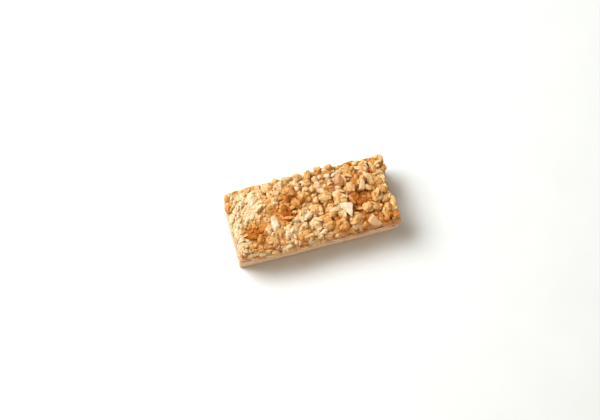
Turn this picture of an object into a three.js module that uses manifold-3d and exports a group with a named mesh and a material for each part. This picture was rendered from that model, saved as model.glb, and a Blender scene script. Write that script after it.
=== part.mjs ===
// A cut slice of apple crumble cake: a pale baked base, a thin layer of cooked apple, and a thick,
// uneven layer of streusel with pale pieces of apple and nut lying in its top.
//
// Millimetres, +Z up. The origin is the middle of the flat underside, +X runs along the slice,
// and -Y is the long cut side that shows the layers.
import * as THREE from "three";
import { mergeVertices } from "three/addons/utils/BufferGeometryUtils.js";
import Module from "manifold-3d";

const wasm = await Module();
wasm.setup();

// ---- Driving sizes, in millimetres ---------------------------------------------------------

const LENGTH = 120; // underside, end to end
const WIDTH = 48.5; // underside, front to back
const BASE_TOP = 14; // mean height of the baked base
const FILLING_TOP = 18.6; // mean height of the apple layer
const CRUMB_TOP = 31.3; // mean height that the clumps reach
const LAYER_GAP = 0.3; // clearance between two neighbouring solids
const POCKET_GAP = 0.45; // clearance round a pale piece that lies in the streusel
const BASE_WAVE = 0.5; // how far the base's upper face rises and falls
const FILLING_WAVE = 0.3; // and the apple layer's
const CRUMB_WAVE = 0.8; // and the level that the clumps reach
const CORNER = 1.6; // radius of the slice's upright corners
const LEAN = { left: 0.1, right: 0.03, side: 0.025 }; // how far each cut side leans in for each mm up
const BELLY = { out: 3, widest: 19, back: [20, 34], along: [-75, -35] }; // of the two long cut sides
const END_NOTCH = { y: 2, halfWidth: 13, depth: 3 }; // streusel broken away at the right end
const EDGE_FALL = { drop: 2.2, reach: 9 }; // the streusel's surface falls towards the rim

const SIDE_POINTS = 110; // points round the base and the apple layer
const BASE_SIDE = { rings: 4, relief: 0.28, inset: 0 }; // steps up, depth of relief, distance inwards
const FILLING_SIDE = { rings: 2, relief: 0.45, inset: 0.1 };

// The packed streusel: how far its top lies below the clumps' tops and how uneven it is, how far its
// sides lie behind the cut crumbs, and its steps along, across and up.
const CORE = { depth: 3.4, relief: 0.7, inset: 1, steps: [18, 8, 2] };

// Crumbs come in three kinds. Pairs are the least and the most, between which each crumb draws.
const SCATTERED_CLUMPS = { tries: 260, margin: 3, start: 0.31, reach: [3.3, 5], lift: [-1.1, 0.7] };
const SINGLE_CRUMBS = { tries: 78, margin: 2, start: 0.77, size: [1.7, 2.8], sink: [1.4, 2.6] };
const CUT_CRUMBS = { number: 46, size: [2.9, 4.2], height: [22.4, 24.4] };

// A crumb's half sizes as shares of its size, its tilt, and how far behind the cut side it ends.
const CRUMB = { long: [0.95, 1.2], wide: [0.9, 1.1], high: 0.8, tip: 0.35, slack: [-0.35, 0.75] };
const FACES = { number: 8, distance: [0.74, 1], sharpness: 14, round: 1.12 }; // flat faces of a crumb
const LOBES = { number: [4, 6], depth: 0.12, width: 0.12 }; // swellings of a clump
const CLUMP_SPACING = 0.78; // least distance between two clumps, as a share of their radii together
const CLUMP_SINK = 0.8; // how far a clump's middle lies below its top, as a share of its radius

const SEED = 4.7;
const GOLDEN = 0.618034;
const PLASTIC = 1.3247179572; // its powers make an even scatter

// Clumps that stand out: where they lie, how far above the mean they reach, and their radius.
const NAMED_CLUMPS = [
  { x: -45.5, y: -9.5, lift: 0.8, reach: 6.4 },
  { x: -44, y: 2.5, lift: 0.1, reach: 6.0 },
  { x: -55, y: 14.5, lift: -0.4, reach: 4.6 },
  { x: -53.5, y: -18.5, lift: -1.0, reach: 4.4 },
  { x: -42, y: -20.5, lift: -0.6, reach: 5.0 },
  { x: -33, y: -18.5, lift: 0.2, reach: 4.8 },
  { x: -25, y: -21.5, lift: -2.2, reach: 4.6 },
  { x: -28.5, y: 3.5, lift: 0.8, reach: 5.4 },
  { x: -17.5, y: -2.5, lift: 1.2, reach: 6.2 },
  { x: -18, y: -15, lift: 0.2, reach: 5.6 },
  { x: -10, y: -21, lift: -0.4, reach: 4.8 },
  { x: -12, y: 12.5, lift: 0.6, reach: 4.8 },
  { x: -23.5, y: 11.5, lift: 0.2, reach: 4.8 },
  { x: -33.5, y: 18.5, lift: -0.2, reach: 4.8 },
  { x: -2, y: 6.8, lift: 0.8, reach: 6.2 },
  { x: -7.5, y: -6.5, lift: 0.7, reach: 5.2 },
  { x: 3, y: -5, lift: 0.6, reach: 5.0 },
  { x: 0.5, y: 19, lift: 0.1, reach: 5.0 },
  { x: 8.5, y: -16.5, lift: 0.6, reach: 4.8 },
  { x: 17, y: -21, lift: 0.9, reach: 5.4 },
  { x: 13, y: -8.5, lift: 0.8, reach: 4.8 },
  { x: 10.5, y: 2, lift: 0.6, reach: 4.6 },
  { x: 18, y: 21, lift: 2.2, reach: 5.4 },
  { x: 29.5, y: -19.5, lift: -0.3, reach: 5.8 },
  { x: 33, y: 17, lift: 0.5, reach: 4.8 },
  { x: 43, y: 16.5, lift: 0.8, reach: 5.0 },
  { x: 52.5, y: 18.5, lift: 0.6, reach: 5.4 },
  { x: 48.5, y: 6.5, lift: 0.4, reach: 4.8 },
  { x: 47.5, y: -5, lift: 0.3, reach: 5.0 },
  { x: 53, y: -17, lift: -0.2, reach: 5.0 },
];

// Pale chips that lie in the streusel: centre, thickness, how far each is tipped about X and Y in
// degrees, and the corners of its outline from the centre.
const APPLE_CHIPS = [
  {
    ...{ x: 24, y: -10, z: 30.9, thick: 3.6, tip: [10, -8] },
    corners: [[-4.5, 5.1], [5.2, 3], [1.9, -7.6], [-3.9, 1.2]],
  },
  {
    ...{ x: 41, y: -22, z: 26.2, thick: 5.6, tip: [32, 6] },
    corners: [[-0.6, 5], [-5, 0.4], [-1.4, -4], [5.8, -3.6]],
  },
];
const NUT_CHIPS = [
  {
    ...{ x: 39, y: 4.8, z: 31.4, thick: 3, tip: [0, 18] },
    corners: [[-3.4, -3.6], [0.8, 5], [2.6, 2.6], [0.8, -4.6]],
  },
  {
    ...{ x: 30.4, y: 4.4, z: 30.8, thick: 4, tip: [-6, 10] },
    corners: [[-2.4, 4.4], [1.6, 4.1], [3.8, 0], [2.2, -4.2], [-3.6, -2.6]],
  },
];
const CHIP_CORNER = 1.4; // how far the corners of a chip's outline are rounded
const CHIP_EDGE = 0.6; // and its edges
const PALE_REACH = 3.2; // room left round the middle of a pale piece

// Pale lumps there: centre, half sizes along the lump, and its turn in degrees.
const APPLE_LUMPS = [
  { x: 23.8, y: 12, z: 31.2, half: [3.3, 4.1, 2.7], turn: 0 },
  { x: 38.8, y: -12.4, z: 29.9, half: [3.8, 3.9, 3], turn: 50 },
];
const NUT_LUMPS = [
  { x: -28.8, y: -8.6, z: 30.1, half: [2.9, 6, 2.7], turn: 4 },
  { x: -34.2, y: -11.4, z: 29.4, half: [3, 4.2, 2.4], turn: -6 },
];

const LOOKS = {
  cake_base: { color: "#dcb98a", roughness: 0.85, metalness: 0 },
  apple_filling: { color: "#b07a62", roughness: 0.45, metalness: 0 },
  streusel: { color: "#d99f5c", roughness: 0.8, metalness: 0 },
  apple_piece: { color: "#f0d3a0", roughness: 0.6, metalness: 0 },
  nut_piece: { color: "#f4e2c0", roughness: 0.6, metalness: 0 },
};

// ---- Rules shared by the pieces ------------------------------------------------------------

const clamp = THREE.MathUtils.clamp;
const smooth = THREE.MathUtils.smoothstep;

// A draw from 0 to 1 that depends only on an item's number and on what is drawn for it.
function draw(item, what) {
  const s = Math.sin(item * 12.9898 + what * 78.233 + SEED) * 43758.5453;
  return s - Math.floor(s);
}

const drawFrom = ([least, most], item, what) => least + (most - least) * draw(item, what);

// A slow, smooth rise and fall from -1 to 1 over the slice.
function wave(x, y, phase) {
  const long = Math.sin(x * 0.11 + phase) + Math.sin(x * 0.057 + y * 0.13 + phase * 2.3);
  return 0.4 * long + 0.2 * Math.sin(y * 0.31 - x * 0.19 + phase * 1.7);
}

const baseTop = (x, y) => BASE_TOP + BASE_WAVE * wave(x, y, 0.6);
const fillingTop = (x, y) => FILLING_TOP + FILLING_WAVE * wave(x, y, 2.1);
const STREUSEL_FOOT = FILLING_TOP + FILLING_WAVE + LAYER_GAP; // the streusel's level underside

// How far the streusel is broken back from the right end at a place across the slice.
function notch(y) {
  const off = Math.abs(y - END_NOTCH.y) / END_NOTCH.halfWidth;
  return END_NOTCH.depth * (1 - smooth(off, 0.3, 1));
}

// How far a long side stands out over its foot: evenly further up to the apple, back again in the
// streusel, and less at the left end.
function belly(x, z) {
  const up = clamp(z / BELLY.widest, 0, 1) * (1 - smooth(z, ...BELLY.back));
  return BELLY.out * up * smooth(x, ...BELLY.along);
}

// The four cut sides at one place and height, as the furthest x and y of the slice.
function cutPlanes({ x, y }, z, streusel) {
  const side = WIDTH / 2 - LEAN.side * z + belly(x, z);
  return {
    left: -LENGTH / 2 + LEAN.left * z,
    right: LENGTH / 2 - LEAN.right * z - (streusel ? notch(y) : 0),
    front: -side,
    back: side,
  };
}

// The height that the clumps reach at a place: level in the middle, falling a little at the rim.
function crumbSurface(x, y) {
  const inFromRim = Math.min(LENGTH / 2 - Math.abs(x), WIDTH / 2 - Math.abs(y));
  const drop = EDGE_FALL.drop * (1 - smooth(inFromRim, 0, EDGE_FALL.reach));
  return CRUMB_TOP - drop + CRUMB_WAVE * wave(x, y, 3.4);
}

// The n-th place of an even scatter over the slice's top, kept a margin inside the rim.
function scatter(n, { margin, start }) {
  const across = (start + n / PLASTIC) % 1;
  const along = (start * 1.7 + n / PLASTIC ** 2) % 1;
  return {
    x: (along - 0.5) * (LENGTH - 2 * margin),
    y: (across - 0.5) * (WIDTH - 2 * margin),
  };
}

// ---- Solids from meshes --------------------------------------------------------------------

function solidOf(geometry) {
  const bare = geometry.clone();
  bare.deleteAttribute("normal");
  bare.deleteAttribute("uv");
  const merged = mergeVertices(bare, 1e-4);
  return new wasm.Manifold(
    new wasm.Mesh({
      numProp: 3,
      vertProperties: Float32Array.from(merged.attributes.position.array),
      triVerts: Uint32Array.from(merged.index.array),
    }),
  );
}

// The outer skin of the largest body: hollows that fusing sealed and loose scraps are dropped.
function largestBody(solid) {
  return solid.decompose().reduce((a, b) => (b.volume() > a.volume() ? b : a));
}

function geometryOf(solid) {
  const mesh = solid.getMesh();
  const geometry = new THREE.BufferGeometry();
  geometry.setAttribute("position", new THREE.BufferAttribute(mesh.vertProperties, 3));
  geometry.setIndex(new THREE.BufferAttribute(mesh.triVerts, 1));
  geometry.computeVertexNormals();
  return geometry;
}

function addMesh(group, name, geometry, look) {
  const mesh = new THREE.Mesh(geometry, new THREE.MeshStandardMaterial(LOOKS[look]));
  mesh.name = name;
  group.add(mesh);
}

// ---- Layers --------------------------------------------------------------------------------

// Evenly spaced points round the slice's plan, a rectangle with small round corners.
function planOutline(points) {
  const x = LENGTH / 2 - CORNER;
  const y = WIDTH / 2 - CORNER;
  const plan = new THREE.Path();
  plan.absarc(x, y, CORNER, 0, Math.PI / 2);
  plan.absarc(-x, y, CORNER, Math.PI / 2, Math.PI);
  plan.absarc(-x, -y, CORNER, Math.PI, Math.PI * 1.5);
  plan.absarc(x, -y, CORNER, Math.PI * 1.5, Math.PI * 2);
  plan.closePath();
  return plan.getSpacedPoints(points).slice(0, points);
}

// A point of the plan moved in to the cut sides at a height, and then further by an inset.
function ontoCut(point, z, inset, streusel) {
  const cut = cutPlanes(point, z, streusel);
  const x = (point.x * (point.x > 0 ? cut.right : -cut.left)) / (LENGTH / 2);
  const y = point.y * (cut.back / (WIDTH / 2));
  const atEnd = Math.abs(point.x) > LENGTH / 2 - CORNER;
  const atSide = Math.abs(point.y) > WIDTH / 2 - CORNER;
  return new THREE.Vector2(
    x - (atEnd ? Math.sign(x) * inset : 0),
    y - (atSide ? Math.sign(y) * inset : 0),
  );
}

// A layer of the slice: rings of points on the cut sides between two heights, closed by a cap above
// and below. The heights are functions of x and y, so neighbouring layers follow each other.
function layer({ bottom, top, side, seed }) {
  const outline = planOutline(SIDE_POINTS);
  const positions = [];
  for (let ring = 0; ring <= side.rings; ring++) {
    outline.forEach((p, i) => {
      const share = ring / side.rings;
      const z = bottom(p.x, p.y) * (1 - share) + top(p.x, p.y) * share;
      const relief = z > 0 ? side.relief * draw(ring * SIDE_POINTS + i, seed) : 0;
      const q = ontoCut(p, z, side.inset + relief, false);
      positions.push(q.x, q.y, z);
    });
  }
  const index = [];
  for (let ring = 0; ring < side.rings; ring++) {
    for (let i = 0; i < SIDE_POINTS; i++) {
      const a = ring * SIDE_POINTS + i;
      const b = ring * SIDE_POINTS + ((i + 1) % SIDE_POINTS);
      index.push(a, b, a + SIDE_POINTS, b, b + SIDE_POINTS, a + SIDE_POINTS);
    }
  }
  const upper = side.rings * SIDE_POINTS;
  for (const [a, b, c] of THREE.ShapeUtils.triangulateShape(outline, [])) {
    index.push(c, b, a, upper + a, upper + b, upper + c);
  }
  const geometry = new THREE.BufferGeometry();
  geometry.setAttribute("position", new THREE.Float32BufferAttribute(positions, 3));
  geometry.setIndex(index);
  return geometry;
}

const cakeBase = () => layer({ bottom: () => 0, top: baseTop, side: BASE_SIDE, seed: 11 });

const appleFilling = () =>
  layer({ bottom: (x, y) => baseTop(x, y) + LAYER_GAP, top: fillingTop, side: FILLING_SIDE, seed: 12 });

// The packed streusel that the clumps stand on: a box whose points move onto the cut sides and onto
// an uneven top.
function streuselCore() {
  const geometry = new THREE.BoxGeometry(LENGTH, WIDTH, 1, ...CORE.steps);
  const at = geometry.attributes.position;
  for (let i = 0; i < at.count; i++) {
    const x = at.getX(i);
    const y = at.getY(i);
    const place = Math.round(x) + LENGTH * Math.round(y);
    const top = crumbSurface(x, y) - CORE.depth + drawFrom([-CORE.relief, CORE.relief], place, 14);
    const z = STREUSEL_FOOT + (top - STREUSEL_FOOT) * (at.getZ(i) + 0.5);
    const q = ontoCut({ x, y }, z, CORE.inset, true);
    at.setXYZ(i, q.x, q.y, z);
  }
  return geometry;
}

// ---- Crumbs --------------------------------------------------------------------------------

// The i-th of several directions from straight up down to a lowest one, evenly spread and shaken.
function spread({ item, i, several, what, lowest }) {
  const share = (i + 0.5 + drawFrom([-0.35, 0.35], item, what + i)) / several;
  const up = 1 - (1 - lowest) * share;
  const round = 2 * Math.PI * (i * GOLDEN + drawFrom([0, 0.35], item, what + 20 + i));
  const flat = Math.sqrt(1 - up * up);
  return new THREE.Vector3(flat * Math.cos(round), flat * Math.sin(round), up);
}

// What shapes one crumb: its flat faces, each with a distance from the middle, and its lobes.
function shapeOf({ item, faces = FACES.number, lobes = 0 }) {
  return {
    faces: Array.from({ length: faces }, (_, i) => ({
      toward: spread({ item, i, several: faces, what: 20, lowest: -1 }),
      distance: drawFrom(FACES.distance, item, 60 + i),
    })),
    lobes: Array.from({ length: lobes }, (_, i) =>
      spread({ item, i, several: lobes, what: 70, lowest: -0.3 }),
    ),
  };
}

// How far a crumb reaches in a direction: to the nearest of its flat faces, with the edges eased,
// and further where one of its lobes swells it.
function reachOf(direction, { faces, lobes }) {
  const sum = faces.reduce((total, face) => {
    const facing = Math.max(direction.dot(face.toward), 0);
    return total + (facing / face.distance) ** FACES.sharpness;
  }, FACES.round ** -FACES.sharpness);
  const flat = sum ** (-1 / FACES.sharpness);
  const swell = Math.max(0, ...lobes.map((lobe) => Math.exp((direction.dot(lobe) - 1) / LOBES.width)));
  return lobes.length ? flat * (1 + LOBES.depth * (2 * swell - 1)) : flat;
}

// A faceted lump of half sizes half[0..2], tipped, turned about Z and set in its place.
function lump(crumb, { detail, grow = 0 }) {
  const geometry = new THREE.IcosahedronGeometry(1, detail);
  const shape = shapeOf(crumb);
  const spin = new THREE.Euler(crumb.tip, crumb.tip * 0.6, crumb.turn, "ZYX");
  const at = geometry.attributes.position;
  const v = new THREE.Vector3();
  for (let i = 0; i < at.count; i++) {
    v.fromBufferAttribute(at, i).normalize();
    const reach = reachOf(v, shape);
    v.set(
      v.x * (reach * crumb.half[0] + grow),
      v.y * (reach * crumb.half[1] + grow),
      v.z * (reach * crumb.half[2] + grow),
    );
    v.applyEuler(spin);
    at.setXYZ(i, v.x + crumb.x, v.y + crumb.y, v.z + crumb.z);
  }
  return geometry;
}

// Flattens what a lump has past the cut sides, or below the streusel, onto them.
function trimToCut(geometry, slack) {
  const at = geometry.attributes.position;
  for (let i = 0; i < at.count; i++) {
    const z = Math.max(at.getZ(i), STREUSEL_FOOT);
    const cut = cutPlanes({ x: at.getX(i), y: at.getY(i) }, z, true);
    const x = clamp(at.getX(i), cut.left + slack, cut.right - slack);
    const y = clamp(at.getY(i), cut.front + slack, cut.back - slack);
    at.setXYZ(i, x, y, z);
  }
  return geometry;
}

// One crumb as data: its place, size and lobes, and what is drawn for it by its number.
function crumb({ item, x, y, z, size, lobes = 0 }) {
  const half = [drawFrom(CRUMB.long, item, 1), drawFrom(CRUMB.wide, item, 2), CRUMB.high];
  return {
    item,
    x,
    y,
    z,
    size,
    lobes,
    half: half.map((share) => share * size),
    turn: 2 * Math.PI * draw(item, 3),
    tip: drawFrom([-CRUMB.tip, CRUMB.tip], item, 4),
    slack: drawFrom(CRUMB.slack, item, 5),
  };
}

const palePieces = [...APPLE_CHIPS, ...APPLE_LUMPS, ...NUT_CHIPS, ...NUT_LUMPS];
const tooNear = (a, b, least) => Math.hypot(a.x - b.x, a.y - b.y) < least;

// The places of the clumps: the named ones, then more by an even scatter, wherever there is room.
function clumpPlaces() {
  const found = [...NAMED_CLUMPS];
  for (let n = 0; n < SCATTERED_CLUMPS.tries; n++) {
    const lift = drawFrom(SCATTERED_CLUMPS.lift, n, 15);
    const clump = { ...scatter(n, SCATTERED_CLUMPS), lift, reach: drawFrom(SCATTERED_CLUMPS.reach, n, 16) };
    const clear =
      !found.some((c) => tooNear(c, clump, CLUMP_SPACING * (c.reach + clump.reach))) &&
      !palePieces.some((p) => tooNear(p, clump, PALE_REACH + 0.65 * clump.reach));
    if (clear) found.push(clump);
  }
  return found;
}

function clumps() {
  return clumpPlaces().map(({ x, y, lift, reach }, n) => {
    const z = crumbSurface(x, y) + lift - CLUMP_SINK * reach;
    const lobes = Math.round(drawFrom(LOBES.number, n, 12));
    return crumb({ item: 1000 + n, x, y, z, size: reach, lobes });
  });
}

// Small single crumbs between the clumps.
function singleCrumbs() {
  return Array.from({ length: SINGLE_CRUMBS.tries }, (_, n) => {
    const item = 3000 + n;
    const { x, y } = scatter(n, SINGLE_CRUMBS);
    const size = drawFrom(SINGLE_CRUMBS.size, item, 6);
    const z = crumbSurface(x, y) - 0.6 * size - drawFrom(SINGLE_CRUMBS.sink, item, 7);
    return crumb({ item, x, y, z, size });
  }).filter((c) => !palePieces.some((p) => tooNear(p, c, PALE_REACH)));
}

// Crumbs that the knife cut through, in a row round the cut sides.
function cutCrumbs() {
  return planOutline(CUT_CRUMBS.number).map((p, n) => {
    const item = 4000 + n;
    const size = drawFrom(CUT_CRUMBS.size, item, 6);
    const z = drawFrom(CUT_CRUMBS.height, item, 7);
    const { x, y } = ontoCut(p, z, 0.5 * size, true);
    return crumb({ item, x, y, z, size });
  });
}

function streusel() {
  const lumps = [
    ...clumps().map((c) => trimToCut(lump(c, { detail: 1 }), c.slack)),
    ...[...singleCrumbs(), ...cutCrumbs()].map((c) => trimToCut(lump(c, { detail: 0 }), c.slack)),
  ];
  return wasm.Manifold.union([streuselCore(), ...lumps].map(solidOf));
}

// ---- Pale pieces ---------------------------------------------------------------------------

// A flat chip with rounded corners and edges. It can be made larger all round, to cut its pocket.
function chip({ x, y, z, thick, tip, corners }, grow) {
  const outline = new THREE.Shape();
  const points = corners.map(([u, v]) => new THREE.Vector2(u, v));
  points.forEach((corner, i) => {
    const before = points.at(i - 1).clone().sub(corner).setLength(CHIP_CORNER).add(corner);
    const after = points[(i + 1) % points.length].clone().sub(corner).setLength(CHIP_CORNER).add(corner);
    if (i === 0) outline.moveTo(before.x, before.y);
    else outline.lineTo(before.x, before.y);
    outline.quadraticCurveTo(corner.x, corner.y, after.x, after.y);
  });
  outline.closePath();
  const geometry = new THREE.ExtrudeGeometry(outline, {
    depth: thick - 2 * CHIP_EDGE,
    bevelThickness: CHIP_EDGE + grow,
    bevelSize: CHIP_EDGE + grow,
    bevelOffset: -CHIP_EDGE,
    bevelSegments: 2,
    curveSegments: 2,
  });
  geometry.translate(0, 0, CHIP_EDGE - thick / 2);
  geometry.rotateX(THREE.MathUtils.degToRad(tip[0]));
  geometry.rotateY(THREE.MathUtils.degToRad(tip[1]));
  return geometry.translate(x, y, z);
}

function paleLump(piece, item, grow) {
  const turn = THREE.MathUtils.degToRad(piece.turn);
  return lump({ ...piece, item, turn, tip: drawFrom([-0.25, 0.25], item, 4), faces: 6 }, { detail: 1, grow });
}

// A pale piece, cut off where it would stand out of the slice's sides.
function palePiece(piece, item, grow) {
  const geometry = piece.corners ? chip(piece, grow) : paleLump(piece, item, grow);
  return solidOf(trimToCut(geometry, -grow));
}

// ---- The slice -----------------------------------------------------------------------------

const slice = new THREE.Group();
addMesh(slice, "cake_base", geometryOf(solidOf(cakeBase())), "cake_base");
addMesh(slice, "apple_filling", geometryOf(solidOf(appleFilling())), "apple_filling");

const pockets = palePieces.map((piece, n) => palePiece(piece, 900 + n, POCKET_GAP));
const pitted = streusel().subtract(wasm.Manifold.union(pockets));
addMesh(slice, "streusel", geometryOf(largestBody(pitted)), "streusel");

const apples = APPLE_CHIPS.length + APPLE_LUMPS.length;
palePieces.forEach((piece, n) => {
  const look = n < apples ? "apple_piece" : "nut_piece";
  const number = n < apples ? n + 1 : n + 1 - apples;
  addMesh(slice, `${look}_${number}`, geometryOf(palePiece(piece, 900 + n, 0)), look);
});

export default slice;
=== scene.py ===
"""A cut slice of apple crumble cake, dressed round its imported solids.

Lengths are in millimetres until a mesh is made, which turns them into metres. Shapes are worked out
with numpy as whole arrays. +X runs along the slice, -Y is its front cut side and +Z is up. The rules
for where crumbs lie are the solids' own, so a dressed crumb covers its solid.
"""

import math

import bpy
import numpy as np
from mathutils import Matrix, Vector


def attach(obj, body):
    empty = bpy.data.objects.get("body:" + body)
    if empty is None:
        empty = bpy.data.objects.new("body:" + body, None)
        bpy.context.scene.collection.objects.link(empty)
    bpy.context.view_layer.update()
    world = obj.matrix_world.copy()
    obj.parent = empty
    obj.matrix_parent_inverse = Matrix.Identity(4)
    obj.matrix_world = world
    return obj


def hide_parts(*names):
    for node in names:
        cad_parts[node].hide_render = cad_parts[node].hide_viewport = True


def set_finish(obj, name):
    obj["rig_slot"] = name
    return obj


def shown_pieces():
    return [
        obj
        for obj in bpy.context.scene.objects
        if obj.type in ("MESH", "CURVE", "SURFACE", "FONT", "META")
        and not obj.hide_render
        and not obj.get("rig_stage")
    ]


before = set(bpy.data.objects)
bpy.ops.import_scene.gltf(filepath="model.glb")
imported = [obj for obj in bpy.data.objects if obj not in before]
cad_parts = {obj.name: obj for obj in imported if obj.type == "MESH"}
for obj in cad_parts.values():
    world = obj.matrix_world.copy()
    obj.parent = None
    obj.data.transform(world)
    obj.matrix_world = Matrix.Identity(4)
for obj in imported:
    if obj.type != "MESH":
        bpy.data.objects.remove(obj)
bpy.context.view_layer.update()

# ---- Sizes shared with the solids, in millimetres ---------------------------------------------

LENGTH, WIDTH = 120.0, 48.5  # underside
BASE_TOP, FILLING_TOP, CRUMB_TOP = 14.0, 18.6, 31.3  # mean heights
BASE_WAVE, FILLING_WAVE, CRUMB_WAVE = 0.5, 0.3, 0.8  # how far each rises and falls
CORNER = 1.6  # radius of the upright corners
LEAN_LEFT, LEAN_RIGHT, LEAN_SIDE = 0.1, 0.03, 0.025  # how far a side leans in for each mm up
NOTCH_Y, NOTCH_HALF_WIDTH, NOTCH_DEPTH = 2.0, 13.0, 3.0  # streusel broken away at the right end
BELLY, BELLY_WIDEST = 3.0, 19.0  # how far the long sides stand out over the foot, and where most
BELLY_BACK, BELLY_ALONG = (20, 34), (-75, -35)  # heights and places along between which it fades
EDGE_DROP, EDGE_REACH = 2.2, 9.0  # the streusel's surface falls towards the rim

# In the dressing alone the left end stands out a little over its foot, and its front part leans in
# more towards the top.
LEFT_SWELL, LEFT_LEAN = 1.2, 1.6  # how far
LEFT_LEAN_UP, LEFT_FRONT = (18, 30), (2, 12)  # heights and places across between which it comes and goes

# ---- Draws and forms of crumbs ----------------------------------------------------------------

SEED = 4.7
GOLDEN = 0.618034  # its multiples make an even spiral
PLASTIC = 1.3247179572  # its powers make an even scatter

FACE_SHARPNESS, FACE_ROUND = 24, 1.12  # how sharply flat faces meet, and the furthest reach
LOBES, LOBE_DEPTH, LOBE_WIDTH = (4, 6), 0.12, 0.12  # swellings on a clump
CRUMB_SLACK = (-0.35, 0.75)  # how far behind the cut side a crumb ends
OVERHANG, EDGE_OVERHANG = 0.35, 0.85  # of what a crumb has past the cut side, this share stays
EDGE_DIP, DIP_ALONG = 3.5, (0, 12)  # how far crumbs that hang over reach down, in the left half
CLUMP_SPACING, CLUMP_SINK = 0.78, 0.8  # as shares of the radii
PALE_REACH, PALE_CLEAR = 3.2, 3.0  # room left round the middle of a pale piece, and for fine crumbs
BED_INSET = 1.5  # how far the bed under the crumbs stays behind the cut sides
BED_DEPTH, BED_RISE = 5.4, 2.6  # how deep it lies under the surface, and less where it is fused
FUSED_BED, FUSED_TOP = (-35, 10), (-40, 5)  # places along between which the fused part ends
GAP_DEPTH = 4.0  # how far the bed falls in a gap
HEAP_SHADE_DEPTHS = (1.2, 5)  # depths under the surface between which painted shade darkens the crumbs
TONE, TONE_RISE, TONE_ALONG = 0.34, 0.26, (-40, 45)  # how brown, and how it rises to the right

# Forms of crumbs: half sizes along, across and up, as shares of the radius, the greatest tip, how
# many flat faces and how far out they lie.
CLUMP = ((0.95, 1.2), (0.9, 1.1), (0.8, 0.8), 0.35, 8, (0.74, 1.0))
CHUNK = ((1.0, 1.5), (0.75, 1.1), (0.6, 0.9), 0.8, 7, (0.6, 1.0))
FLAKE = ((1.3, 1.9), (0.6, 0.95), (0.28, 0.42), 0.9, 7, (0.7, 1.0))

# Clumps that stand out: x, y, how far above the mean they reach, radius, and how brown they are.
NAMED_CLUMPS = np.array([
    (-45.5, -9.5, 0.8, 6.4, 0.95),
    (-44, 2.5, 0.1, 6.0, 0.2),
    (-55, 14.5, -0.4, 4.6, 0.6),
    (-53.5, -18.5, -1.0, 4.4, 0.45),
    (-42, -20.5, -0.6, 5.0, 0.6),
    (-33, -18.5, 0.2, 4.8, 0.5),
    (-25, -21.5, -2.2, 4.6, 0.4),
    (-28.5, 3.5, 0.8, 5.4, 0.6),
    (-17.5, -2.5, 1.2, 6.2, 1.0),
    (-18, -15, 0.2, 5.6, 0.25),
    (-10, -21, -0.4, 4.8, 0.6),
    (-12, 12.5, 0.6, 4.8, 0.65),
    (-23.5, 11.5, 0.2, 4.8, 0.45),
    (-33.5, 18.5, -0.2, 4.8, 0.35),
    (-2, 6.8, 0.8, 6.2, 0.6),
    (-7.5, -6.5, 0.7, 5.2, 0.35),
    (3, -5, 0.6, 5.0, 0.4),
    (0.5, 19, 0.1, 5.0, 0.5),
    (8.5, -16.5, 0.6, 4.8, 0.55),
    (17, -21, 0.9, 5.4, 0.7),
    (13, -8.5, 0.8, 4.8, 0.45),
    (10.5, 2, 0.6, 4.6, 0.45),
    (18, 21, 2.2, 5.4, 0.65),
    (29.5, -19.5, -0.3, 5.8, 0.4),
    (33, 17, 0.5, 4.8, 0.6),
    (43, 16.5, 0.8, 5.0, 0.5),
    (52.5, 18.5, 0.6, 5.4, 0.8),
    (48.5, 6.5, 0.4, 4.8, 0.5),
    (47.5, -5, 0.3, 5.0, 0.5),
    (53, -17, -0.2, 5.0, 0.6),
])

# Where the top is browner or paler than its surroundings: x, y, radius and change of tone.
PATCHES = [
    (-44, -9.5, 8.0, 0.45),
    (-37, -15.5, 4.5, 0.12),
    (-44, 8, 10.0, -0.45),
    (-50, 18, 8.0, -0.15),
    (-19, -1.5, 7.5, 0.85),
    (-13, 11.5, 6.0, 0.35),
    (-2, 21, 8.0, -0.2),
    (1.6, 7, 8.0, 0.15),
    (-18, -15.5, 6.5, -0.3),
    (-6, -7, 6.0, -0.3),
    (2, -19.5, 5.5, -0.25),
    (35, -5, 7.0, 0.42),
    (19, -20, 5.0, 0.3),
    (18, 8, 4.0, 0.3),
    (52, 19, 6.0, -0.2),
    (24, 20, 9.0, -0.3),
    (40, 21, 8.0, -0.3),
    (-57, 14, 5.0, 0.35),
    (53.5, -24, 4.5, 0.3),
    (51, -18.5, 4.5, -0.2),
    (-52.5, -17.5, 4.5, -0.25),
]
# Gaps that go deep into the heap: x, y and radius.
GAPS = np.array([
    (35.2, -1.4, 1.7),
    (34.6, -6.2, 1.6),
    (36.2, -9.6, 1.5),
    (33, -13.6, 1.6),
    (40.6, 0.6, 1.3),
    (53.2, -12.4, 1.4),
    (-5.2, -13, 1.7),
    (12, -14, 1.5),
    (-31.5, 17, 1.3),
    (1.4, 4.2, 1.3),
    (-1.8, -24, 1.3),
])

# Long pale flakes: x, y, half length and turn in degrees.
LONG_FLAKES = np.array([
    (-1.6, 12.6, 4.2, 2),
    (8.2, 9.9, 5.0, -38),
    (18.5, 4.1, 4.4, 7),
    (24.8, -0.4, 2.8, -36),
    (53, 12, 3.6, -24),
    (17.9, -9.6, 3.2, -80),
    (-27.8, 15, 3.2, -84),
    (-22, -18.5, 3.0, 75),
    (-52.3, 10.5, 3.2, 60),
    (-50, -15.5, 3.0, 150),
    (4.5, -21.5, 3.4, 20),
    (-9, -9.5, 3.0, 100),
    (44, 10.5, 2.8, 120),
])

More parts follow.
